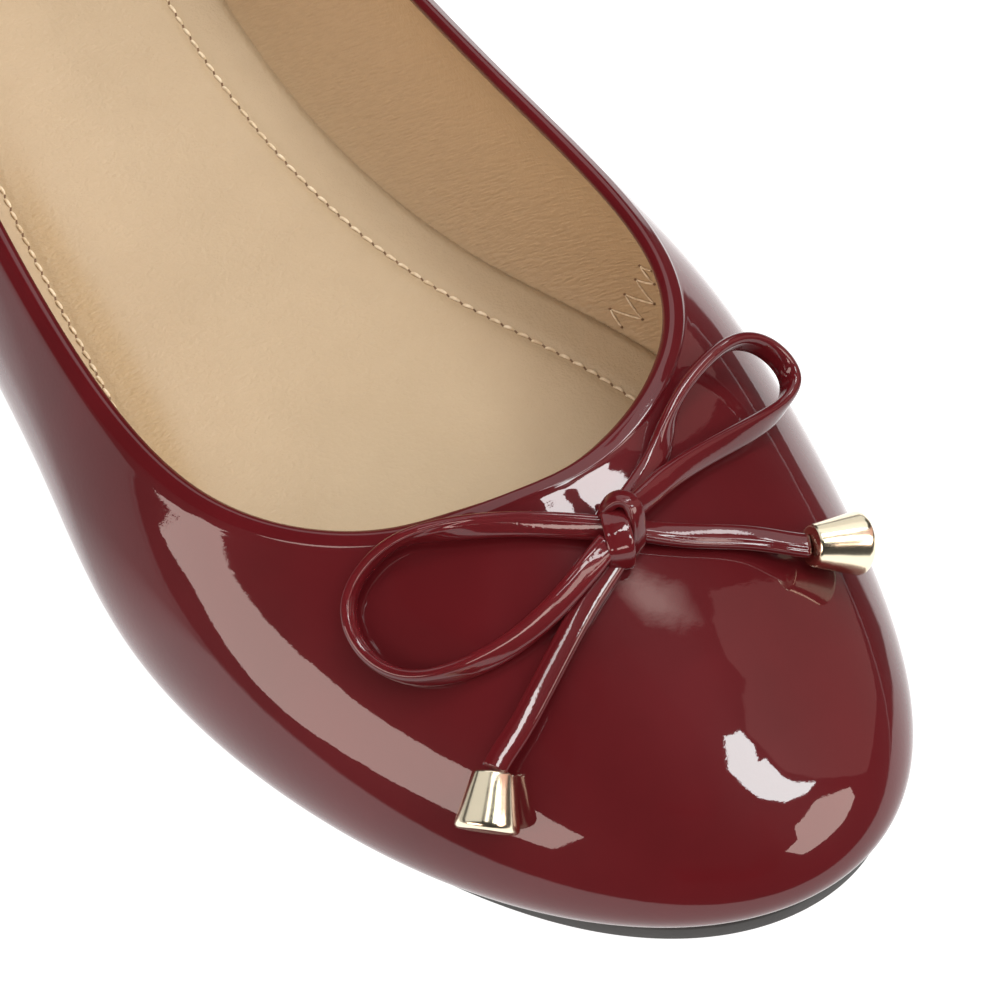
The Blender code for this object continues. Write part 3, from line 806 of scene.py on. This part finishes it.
def zigzag_seam(thread_fibre, hole_shade):
    for side, turn in (("inner", 0), ("outer", 1)):
        u = np.array([abs(turn - point.round) for point in ZIGZAG])
        t = np.array([point.up for point in ZIGZAG])
        ends = inside(u, t, WALL)
        lift = -wall_normal(u, t)
        middle, reach = (ends[1:] + ends[:-1]) / 2, (ends[1:] - ends[:-1]) / 2
        threads = arches(middle, reach * ZIGZAG_FILL, lift[:-1], ZIGZAG_RISE, ZIGZAG_LIFT)
        pits = arches(ends, PIT_WAY * PIT_HALF, lift, 0, PIT_LIFT)
        joined_rods("lining_threads_" + side, threads, THREAD_ENDS * ZIGZAG_RADIUS, thread_fibre)
        # the holes are dark rods of painted shade
        joined_rods("lining_hole_shades_" + side, pits, HOLE_ENDS * PIT_RADIUS, hole_shade)


# The bow

VAMP_ROWS = 25


class Vamp:
    """Looks straight down on the upper and its collar to find the foot of a strap point."""

    def __init__(self):
        u = np.arange(2 * MODEL_STEPS) / (2 * MODEL_STEPS)
        rows = [wall(u, t) for t in np.linspace(0, 1, VAMP_ROWS)]
        rows.append(rows[-1] + collar_seat(u)[2] * (BINDING_WIDTH + GAP))
        points = [Vector(p) for p in np.concatenate(rows)]
        self.tree = BVHTree.FromPolygons(points, between_rings(len(rows), len(u)))

    def over(self, x, y, height):
        above = Vector((x, y, COLLAR_BACK + THROAT_HEIGHT))
        foot, normal, _, _ = self.tree.ray_cast(above, Vector((0, 0, -1)))
        normal = np.array(normal) * math.copysign(1, normal.z)
        return np.array(foot) + normal * height, normal


def strap_route(vamp, points):
    """Curve through place, normal and turn along a strap, with its length."""
    rows = []
    for point in points:
        x = (KNOT_ACROSS + point.across) * BALL_WIDTH
        y = (KNOT_FORWARD + point.forward) * LENGTH
        place, normal = vamp.over(x, y, point.lift * STRAP_WIDTH)
        rows.append(np.concatenate([place, normal, [math.radians(point.turn)]]))
    rows = np.array(rows)
    places = distances(rows[:, :3])
    return open_curve(places, rows), places[-1]


def strap_sections(curve, start, end, every, step=0.5 * MM):
    count = max(4, round((end - start) / every) + 1)
    s = np.linspace(start, end, count)
    rows = curve(s)
    along = unit(curve(s + step)[:, :3] - curve(s - step)[:, :3])
    out = square_to(rows[:, 3:6], along)
    side = np.cross(along, out)
    turn = rows[:, 6:7]
    flat = side * np.cos(turn) + out * np.sin(turn)
    face = out * np.cos(turn) - side * np.sin(turn)
    return rows[:, :3], flat, face


STRAP_SIDES = 32
GROOVE_SHARE = 0.13         # depth of the folded strap's groove, as a share of its half width
GROOVE_ANGLE = 0.16
STRAP_TUCK = 2.7 * MM       # how far a strap runs on into the knot
STRAP_STEP = 0.4 * MM


def strap_ring(middle, flat, face, width, thickness, squareness=2.7, seam=0.9):
    """Rounded flat section with the groove of the folded strap's seam at the angle seam."""
    angle = turns(STRAP_SIDES)
    away = (angle - seam + math.pi) % (2 * math.pi) - math.pi
    groove = 1 - GROOVE_SHARE * np.exp(-(away / GROOVE_ANGLE) ** 2)
    a, b = (np.copysign(np.abs(v) ** (2 / squareness), v) * groove for v in (np.cos(angle), np.sin(angle)))
    return middle[:, None] + flat[:, None] * a * width / 2 + face[:, None] * b * thickness / 2


def make_strap(name, node, vamp, points, patent, tip=0):
    curve, length = strap_route(vamp, points)
    end = length - tip if tip else length + STRAP_TUCK
    middle, flat, face = strap_sections(curve, -STRAP_TUCK, end, STRAP_STEP)
    rings = strap_ring(middle, flat, face, STRAP_WIDTH, STRAP_THICKNESS)
    return skin(name, rings, patent, one_face, nodes=(node,), slot="burgundy_patent")


# The metal cap: along it, its flare from neck to mouth, and how much narrower its rounded edges are, all shares
CapPoint = namedtuple("CapPoint", "along flare narrower")
CAP = table(
    CapPoint,
    (0, 0, 0.12), (0.01, 0, 0.05), (0.03, 0.01, 0.01), (0.05, 0.03, 0), (0.3, 0.32, 0), (0.6, 0.66, 0),
    (0.86, 0.97, 0), (0.91, 1, 0), (0.95, 1, 0.012), (0.98, 1, 0.05), (1, 1, 0.12), (1, 1, 0.2), (0.985, 1, 0.3),
    (0.97, 1, 0.6), (0.965, 1, 0.97)
)
CAP_SIDES = 64


def make_tip(name, node, vamp, points, gold):
    curve, length = strap_route(vamp, points)
    ends = curve(np.array([length - TIP_LENGTH - GAP, length]))[:, :3]
    axis = unit(ends[1] - ends[0])
    neck = ends[0] + axis * GAP
    level = unit(np.cross(axis, UP))
    angle = turns(CAP_SIDES)
    spoke = level * np.cos(angle) + np.cross(level, axis) * np.sin(angle)
    rings = []
    for point in CAP:
        width = (TIP_NECK + (TIP_MOUTH - TIP_NECK) * point.flare) * (1 - point.narrower)
        rings.append(neck + axis * TIP_LENGTH * point.along + spoke * width / 2)
    return skin(name, rings, gold, one_face, nodes=(node,), slot="pale_gold")


# The knot's two wraps in mm from its foot on the vamp: to its outer side, along it to the toe, and up
KnotPoint = namedtuple("KnotPoint", "side along up")
KNOT_FRONT = table(
    KnotPoint,
    (1.3, -3.4, 1.4), (1.2, -2.5, 3.1), (1.0, -0.4, 4.2), (0.6, 1.4, 4.4), (0.1, 2.9, 3.8), (-0.2, 3.5, 2.5),
    (-0.4, 3.5, 1.2), (-0.4, 2.8, 0.4)
)
KNOT_ARCH = table(
    KnotPoint,
    (2.3, -1.6, 0.6), (2.2, -1.9, 2.2), (1.8, -2.5, 4.0), (0.9, -2.9, 5.0), (-0.2, -2.6, 5.3), (-1.0, -1.6, 5.0),
    (-1.5, -0.4, 4.1), (-1.9, 0.6, 2.8), (-2.0, 1.2, 1.2), (-1.7, 1.6, 0.3)
)
KNOT_CORE = table(KnotPoint, (0.6, -3.3, 2.0), (0.4, -1.0, 2.3), (0.1, 1.2, 2.3), (-0.2, 3.0, 1.9))
Wrap = namedtuple("Wrap", "points centre width thickness")
KNOT_WRAPS = (
    Wrap(KNOT_FRONT, KnotPoint(0.4, 0.2, 1.8), 3.2, 1.2),
    Wrap(KNOT_ARCH, KnotPoint(0.2, -1.4, 1.8), 2.2, 1.25),
    Wrap(KNOT_CORE, KnotPoint(0.2, 0.0, -20.0), 3.3, 3.4),
)
KNOT_STEPS = 60             # sections along each wrap
KNOT_SQUARENESS = 4.0
KNOT_SEAM = 1.1


def make_knot(vamp, patent):
    x = KNOT_ACROSS * BALL_WIDTH
    y = KNOT_FORWARD * LENGTH
    foot, normal = vamp.over(x, y, 0)
    along = square_to(np.array((-math.sin(KNOT_TURN), math.cos(KNOT_TURN), 0)), normal)
    axes = np.array((np.cross(along, normal), along, normal)) * MM
    points = []
    faces = []
    for wrap in KNOT_WRAPS:
        places = distances(wrap.points)
        curve = open_curve(places, wrap.points)
        s = np.linspace(0, places[-1], KNOT_STEPS)
        middle = curve(s)
        way = unit(curve(s + 0.05) - curve(s - 0.05))
        face = square_to(middle - np.array(wrap.centre), way)
        rings = strap_ring(middle, np.cross(way, face), face, wrap.width, wrap.thickness, KNOT_SQUARENESS, KNOT_SEAM)
        first = sum(len(p) for p in points)
        faces += [tuple(first + i for i in f) for f in skin_faces(*rings.shape[:2], one_face)]
        points.append(foot + rings.reshape(-1, 3) @ axes)
    return make_piece("bow_knot_wraps", np.concatenate(points), faces, patent, nodes=("bow_knot",),
                      slot="burgundy_patent")


# Camera and light

TARGET = np.array((-3.0, 185.2, 18.6)) * MM
AZIMUTH = 29.3              # of the camera from the shoe, from +Y towards +X
ELEVATION = 52.8
ROLL = -2.4
DISTANCE = 553 * MM
FOCAL = 4661.0              # in pixels of the frame
FRAME = 1000
SENSOR = 36.0               # in mm


def aim(azimuth, elevation):
    """Direction from the shoe, with the directions to the right and up of who looks that way."""
    a = math.radians(azimuth)
    e = math.radians(elevation)
    way = np.array((math.sin(a) * math.cos(e), math.cos(a) * math.cos(e), math.sin(e)))
    right = np.array((math.cos(a), -math.sin(a), 0))
    return way, right, np.cross(right, way)


def make_camera():
    back, left, up = aim(AZIMUTH, ELEVATION)
    roll = math.radians(ROLL)
    across = up * math.sin(roll) - left * math.cos(roll)
    upward = up * math.cos(roll) + left * math.sin(roll)
    place = TARGET + PLACE + back * DISTANCE
    data = bpy.data.cameras.new("camera")
    data.sensor_fit = "HORIZONTAL"
    data.sensor_width = SENSOR
    data.lens = FOCAL * SENSOR / FRAME
    data.clip_start = 0.01
    camera = add_object("camera", data)
    camera.matrix_world = Matrix([*zip(across, upward, back, place), (0, 0, 0, 1)])
    bpy.context.scene.camera = camera


WARM = (1.0, 0.82, 0.74)
COOL = (0.92, 1.0, 1.0)
ROSE = (1.0, 0.58, 0.53)
WHITE = (1, 1, 1)
BLACK = (0, 0, 0, 1)
FOCUS = np.array((0, 0.21, 0.03)) + PLACE   # what the lamps stand round
# Soft boxes as flat shapes: azimuth and elevation of the middle, light, corners in metres to the right and up,
# colour, and how far in the edge fades
SoftBox = namedtuple("SoftBox", "name azimuth elevation light corners tint soft", defaults=(WHITE, 0))
SOFT_BOXES = table(
    SoftBox,
    ("outer_strip", 95, 22, 5.8, (
        (0.41, -0.33), (0.26, -0.10), (0.215, 0.03), (0.17, 0.06), (0.12, 0.13), (0.14, 0.03), (0.02, 0.15),
        (-0.21, 0.31), (-0.34, 0.41), (-0.80, 0.53), (-0.73, 0.16), (-0.53, 0.05), (-0.27, -0.12), (0.01, -0.31),
        (0.10, -0.33), (0.25, -0.25)), WARM),
    ("toe_lamp", -55, 56, 17.0, (
        (0.07, 0.15), (0.0, 0.07), (0.02, 0.025), (0.08, 0.015), (0.045, -0.015), (0.05, -0.03), (0.08, -0.10),
        (0.07, -0.16), (0.0, -0.30), (0.08, -0.25), (0.21, -0.11), (0.26, 0.02), (0.24, 0.12), (0.21, 0.17)), COOL),
    ("toe_card", -40, 35, 6.6, (
        (-0.38, -0.12), (-0.35, -0.21), (-0.12, -0.20), (0.30, -0.06), (0.36, 0.12), (0.19, 0.11), (0.11, 0.19),
        (-0.15, 0.13)), WARM),
    ("throat_lamp", -90, 58, 15.0, (
        (-0.12, -0.08), (-0.055, -0.10), (-0.03, -0.04), (0.02, 0.03), (0.0, 0.10), (-0.03, 0.16), (-0.04, 0.22),
        (-0.01, 0.26), (0.02, 0.30), (0.025, 0.36), (0.01, 0.45), (0.0, 0.56), (-0.08, 0.62), (-0.15, 0.50),
        (-0.26, 0.38), (-0.26, 0.22), (-0.16, 0.13), (-0.13, 0.05))),
    ("heel_card", -158, 50, 1.15, (
        (-0.50, -0.32), (0.85, -0.25), (0.95, 0.30), (0.75, 0.55), (0.45, 0.50), (0.30, 0.26), (-0.50, 0.26))),
    ("inner_patch", -80, 40, 3.4, (
        (-0.065, 0.32), (0.015, 0.35), (0.075, 0.53), (0.10, 0.72), (0.06, 0.80), (0.0, 0.70),
        (-0.045, 0.53)), WARM, 0.75),
    ("inner_panel", -80, 40, 0.75, (
        (-0.07, 0.24), (-0.18, -0.10), (-0.55, -1.00), (-0.38, -0.92), (-0.25, -0.87), (-0.12, -0.80), (0.06, -0.61),
        (0.28, -0.45), (0.38, 0.09), (0.39, 0.31), (0.27, 0.45), (0.17, 0.37), (0.11, 0.31), (0.07, 0.35), (0.0, 0.32),
        (-0.04, 0.27)), ROSE),
)
LAMP_DISTANCE = 1.2

# Cards that only the metal caps see
CAP_CARDS = table(
    SoftBox,
    ("cap_card_back", 140, 46, 0.76, ((-0.55, -0.95), (0.55, -0.95), (0.55, 0.85), (-0.55, 0.85))),
    ("cap_card_side", -62, 44, 0.62, ((-0.45, -0.40), (0.40, -0.40), (0.70, 0.45), (-0.75, 0.45))),
    ("cap_card_heel", -140, 26, 0.85, ((-0.35, -0.50), (0.35, -0.50), (0.35, 0.50), (-0.35, 0.50))),
    ("cap_lamp", 60, 85, 2.5, ((-0.22, -0.22), (0.22, -0.22), (0.22, 0.22), (-0.22, 0.22))),
)
# Lamps that only the straps and the knot see
STRAP_LAMPS = table(
    SoftBox,
    ("strap_lamp_side", -103, 46, 11.0, (
        (-0.20, -0.10), (-0.05, -0.13), (0.18, -0.06), (0.20, 0.08), (0.02, 0.05), (-0.18, 0.09))),
    ("strap_lamp_front", 20, 34, 8.0, (
        (-0.30, -0.10), (0.22, -0.16), (0.28, 0.06), (0.0, 0.10), (-0.25, 0.16)), WARM),
    ("strap_lamp_top", 100, 84, 9.0, ((-0.10, -0.16), (0.08, -0.12), (0.11, 0.16), (-0.07, 0.14))),
)
# Lamps for the long streaks on the outer tail and the outer loop alone
TAIL_LAMPS = table(
    SoftBox,
    ("tail_lamp", 70, 76, 15.0, (
        (0.25, 0.45), (0.19, 0.21), (0.16, 0.04), (0.09, -0.10), (0.02, -0.30), (-0.05, -0.45), (-0.20, -0.45),
        (-0.19, -0.25), (-0.12, -0.05), (-0.10, 0.10), (-0.12, 0.25), (-0.10, 0.45))),
)
LOOP_LAMPS = table(
    SoftBox,
    ("loop_lamp_white", -15, 66, 12.0, (
        (-0.20, 0.40), (-0.08, 0.36), (-0.13, 0.08), (0.18, -0.09), (0.50, 0.03), (0.52, -0.03), (0.18, -0.20),
        (-0.22, -0.04))),
    ("loop_lamp_warm", 0, 42, 5.5, (
        (-0.50, 0.42), (-0.34, 0.38), (-0.22, 0.12), (-0.05, -0.07), (0.06, -0.15), (0.30, -0.17), (0.32, -0.33),
        (0.0, -0.35), (-0.22, -0.24), (-0.40, 0.05)), WARM),
)
CARD_DISTANCE = 1.5


def stage_sheet(name, shader, edge, core=()):
    """Flat shape of the studio. With a core its mask is 0 at the edge, 1 there."""
    count = len(edge)
    mesh = bpy.data.meshes.new(name)
    if len(core):
        faces = [(k, (k + 1) % count, (k + 1) % count + count, k + count) for k in range(count)]
        mesh.from_pydata([tuple(p) for p in (*edge, *core)], [], faces + [tuple(range(count, 2 * count))])
        set_mask(mesh, "core", [0.0] * count + [1.0] * count)
    else:
        mesh.from_pydata([tuple(p) for p in edge], [], [tuple(range(count))])
    mesh.materials.append(shader.material)
    sheet = add_object(name, mesh)
    return sheet


def make_soft_box(box, distance):
    way, right, up = aim(box.azimuth, box.elevation)
    edge = [FOCUS + way * distance + right * a + up * b for a, b in box.corners]
    core = []
    light = box.light
    s = Shader(box.name)
    if box.soft:                # the light grows from the edge to the core
        middle = sum(edge) / len(edge)
        core = [middle + (corner - middle) * (1 - box.soft) for corner in edge]
        light = s.math("MULTIPLY", s.mask("core"), light)
    s.set(Base_Color=BLACK, Emission_Color=box.tint + (1,), Emission_Strength=light, Specular_IOR_Level=0.0)
    lamp = stage_sheet(box.name, s, edge, core)
    lamp.visible_camera = False
    lamp.visible_shadow = False
    return lamp


def light_only(name, boxes, pieces):
    """Soft boxes that light and mirror in these pieces alone."""
    lit = bpy.data.collections.new(name)
    for piece in pieces:
        lit.objects.link(piece)
    for box in boxes:
        lamp = make_soft_box(box, CARD_DISTANCE)
        lamp.light_linking.receiver_collection = lit
        lamp.visible_diffuse = False


# What gloss mirrors of the room, from straight below (0) to straight above (1), and its plain light
ROOM = ((0.0, 1.0), (0.495, 1.0), (0.51, 0.06), (1.0, 0.02))
ROOM_LIGHT = 0.55
ROOM_TINT = (1, 0.99, 0.98, 1)


def make_world():
    world = bpy.data.worlds.new("studio")
    bpy.context.scene.world = world
    world.use_nodes = True
    s = Nodes(world.node_tree)
    s.tree.nodes.clear()
    place = s.add("TexCoord").outputs["Generated"]
    level = s.add("SeparateXYZ", {0: place}).outputs["Z"]
    height = s.add("Math", {0: level, 1: 0.5, 2: 0.5}, operation="MULTIPLY_ADD").outputs[0]
    seen = s.add("Background", {"Color": s.steps(height, ROOM)}).outputs[0]
    plain = s.add("Background", {"Color": ROOM_TINT, "Strength": ROOM_LIGHT}).outputs[0]
    gloss = s.add("LightPath").outputs["Is Glossy Ray"]
    s.add("OutputWorld", {"Surface": s.add("MixShader", {"Fac": gloss, 1: plain, 2: seen}).outputs[0]})


FLOOR_REACH = 6.0
FLOOR_GREY = 0.30
FLOOR_GLOW = 0.92


def make_floor():
    s = Shader("floor_white")
    s.set(Base_Color=(FLOOR_GREY, FLOOR_GREY, FLOOR_GREY, 1), Roughness=0.9, Specular_IOR_Level=0.0,
          Emission_Color=WHITE + (1,), Emission_Strength=FLOOR_GLOW)
    corners = [(a * FLOOR_REACH, b * FLOOR_REACH, 0) for a, b in ((-1, -1), (1, -1), (1, 1), (-1, 1))]
    stage_sheet("floor", s, corners)


# Dark cloths on the floor beside the shoe, seen only in its gloss: how dark each is, and in metres where it begins and
# where it covers in full
Cloth = namedtuple("Cloth", "name dark edge cover")
CLOTHS = table(
    Cloth,
    ("outer_cloth", 0.58, (
        (0.044, 0.046), (0.075, 0.040), (0.131, 0.026), (0.25, 0.0), (0.80, -0.12), (20.0, -4.0), (20.0, -30.0),
        (1.0, -30.0), (0.060, -0.40), (0.055, -0.03)), (
        (0.058, 0.012), (0.080, 0.008), (0.135, -0.006), (0.26, -0.035), (0.82, -0.17), (19.8, -4.7), (19.8, -29.0),
        (1.2, -29.0), (0.095, -0.40), (0.082, -0.032))),
    ("inner_cloth", 1.0, (
        (-0.165, 0.012), (-0.165, 0.040), (-0.115, 0.068), (-0.080, 0.090), (-0.100, 0.106), (-0.150, 0.118),
        (-0.350, 0.160), (-3.0, 0.9), (-3.0, -1.0), (-0.30, -0.06)), (
        (-0.175, 0.018), (-0.175, 0.042), (-0.125, 0.072), (-0.092, 0.091), (-0.110, 0.102), (-0.160, 0.113),
        (-0.360, 0.152), (-3.0, 0.85), (-3.0, -0.95), (-0.31, -0.045))),
)
CLOTH_HEIGHT = 1.0 * MM


def make_cloth(cloth):
    s = Shader(cloth.name)
    alpha = s.math("MULTIPLY", s.mask("core"), cloth.dark)
    s.set(Base_Color=(0.02, 0.02, 0.02, 1), Specular_IOR_Level=0.0, Alpha=alpha)
    edge, core = ([(x, y, CLOTH_HEIGHT) for x, y in line] for line in (cloth.edge, cloth.cover))
    flag = stage_sheet(cloth.name, s, edge, core)
    flag.visible_camera = False
    flag.visible_diffuse = False
    flag.visible_shadow = False


KEY_SIZE = 2.2
KEY_ENERGY = 13.2
KEY_PLACE = (0.16, 0.5, 1.6)
KEY_WAY = (0.16, 0.45, 1.6)


def make_key():
    """Broad soft light from above that no glossy surface mirrors."""
    data = bpy.data.lights.new("overhead", "AREA")
    data.shape = "DISK"
    data.size = KEY_SIZE
    data.energy = KEY_ENERGY
    lamp = add_object("overhead", data)
    lamp.location = KEY_PLACE
    lamp.rotation_euler = Vector(KEY_WAY).to_track_quat("Z", "Y").to_euler()
    lamp.visible_glossy = False
    lamp.visible_camera = False


def main():
    bpy.context.scene.view_settings.view_transform = "Standard"
    patent = patent_leather("patent_burgundy", (0.065, 0.0040, 0.0056, 1), (0.080, 0.0048, 0.0070, 1),
                            wave=0.0175, crinkle=0.006)
    strap = patent_leather("patent_strap", (0.066, 0.0040, 0.0056, 1), (0.086, 0.0048, 0.0070, 1),
                           wave=0.0315, crinkle=0.03)
    # The third colour goes where the mask says: on the sock painted shade with some dirt on its creased band, on the
    # lining a tone darker towards the bottom of the wall
    tan_sock = lining_leather("leather_sock", linear(176, 153, 122), linear(185, 162, 131), linear(175, 148, 110),
                              crease=0.20)
    tan_wall = lining_leather("leather_lining", linear(180, 153, 117), linear(192, 166, 129),
                              linear(178, 151, 116), crease=0.24)
    fibre = thread("sock_thread", linear(206, 182, 146), linear(238, 220, 190))
    # dark rods that paint the shade inside the needle holes
    hole_shade = thread("stitch_hole_shade", linear(104, 76, 50), linear(128, 96, 66))
    black = sole_rubber("sole_charcoal", linear(58, 57, 56))
    gold = gold_metal("metal_pale_gold", (0.88, 0.77, 0.57, 1))
    make_outsole(black)
    make_heel(black)
    make_upper(patent)
    make_lining(tan_wall)
    make_insole(tan_sock)
    stitch_seam(fibre, hole_shade)
    zigzag_seam(fibre, hole_shade)
    vamp = Vamp()
    cap = TIP_LENGTH + GAP
    bow = [
        make_knot(vamp, strap),
        make_strap("bow_loop_outer", "bow_loop_lateral", vamp, LOOP_LATERAL, strap),
        make_strap("bow_loop_inner", "bow_loop_medial", vamp, LOOP_MEDIAL, strap),
        make_strap("bow_tail_outer", "bow_tail_lateral", vamp, TAIL_LATERAL, strap, tip=cap),
        make_strap("bow_tail_inner", "bow_tail_medial", vamp, TAIL_MEDIAL, strap, tip=cap),
    ]
    caps = [
        make_tip("bow_cap_outer", "bow_tip_lateral", vamp, TAIL_LATERAL, gold),
        make_tip("bow_cap_inner", "bow_tip_medial", vamp, TAIL_MEDIAL, gold),
    ]
    make_floor()
    for cloth in CLOTHS:
        make_cloth(cloth)
    make_world()
    make_key()
    for box in SOFT_BOXES:
        make_soft_box(box, LAMP_DISTANCE)
    light_only("caps_alone", CAP_CARDS, caps)
    light_only("straps_alone", STRAP_LAMPS, bow)
    light_only("tail_alone", TAIL_LAMPS, bow[3:4])
    light_only("loop_alone", LOOP_LAMPS, bow[1:2])
    make_camera()


main()
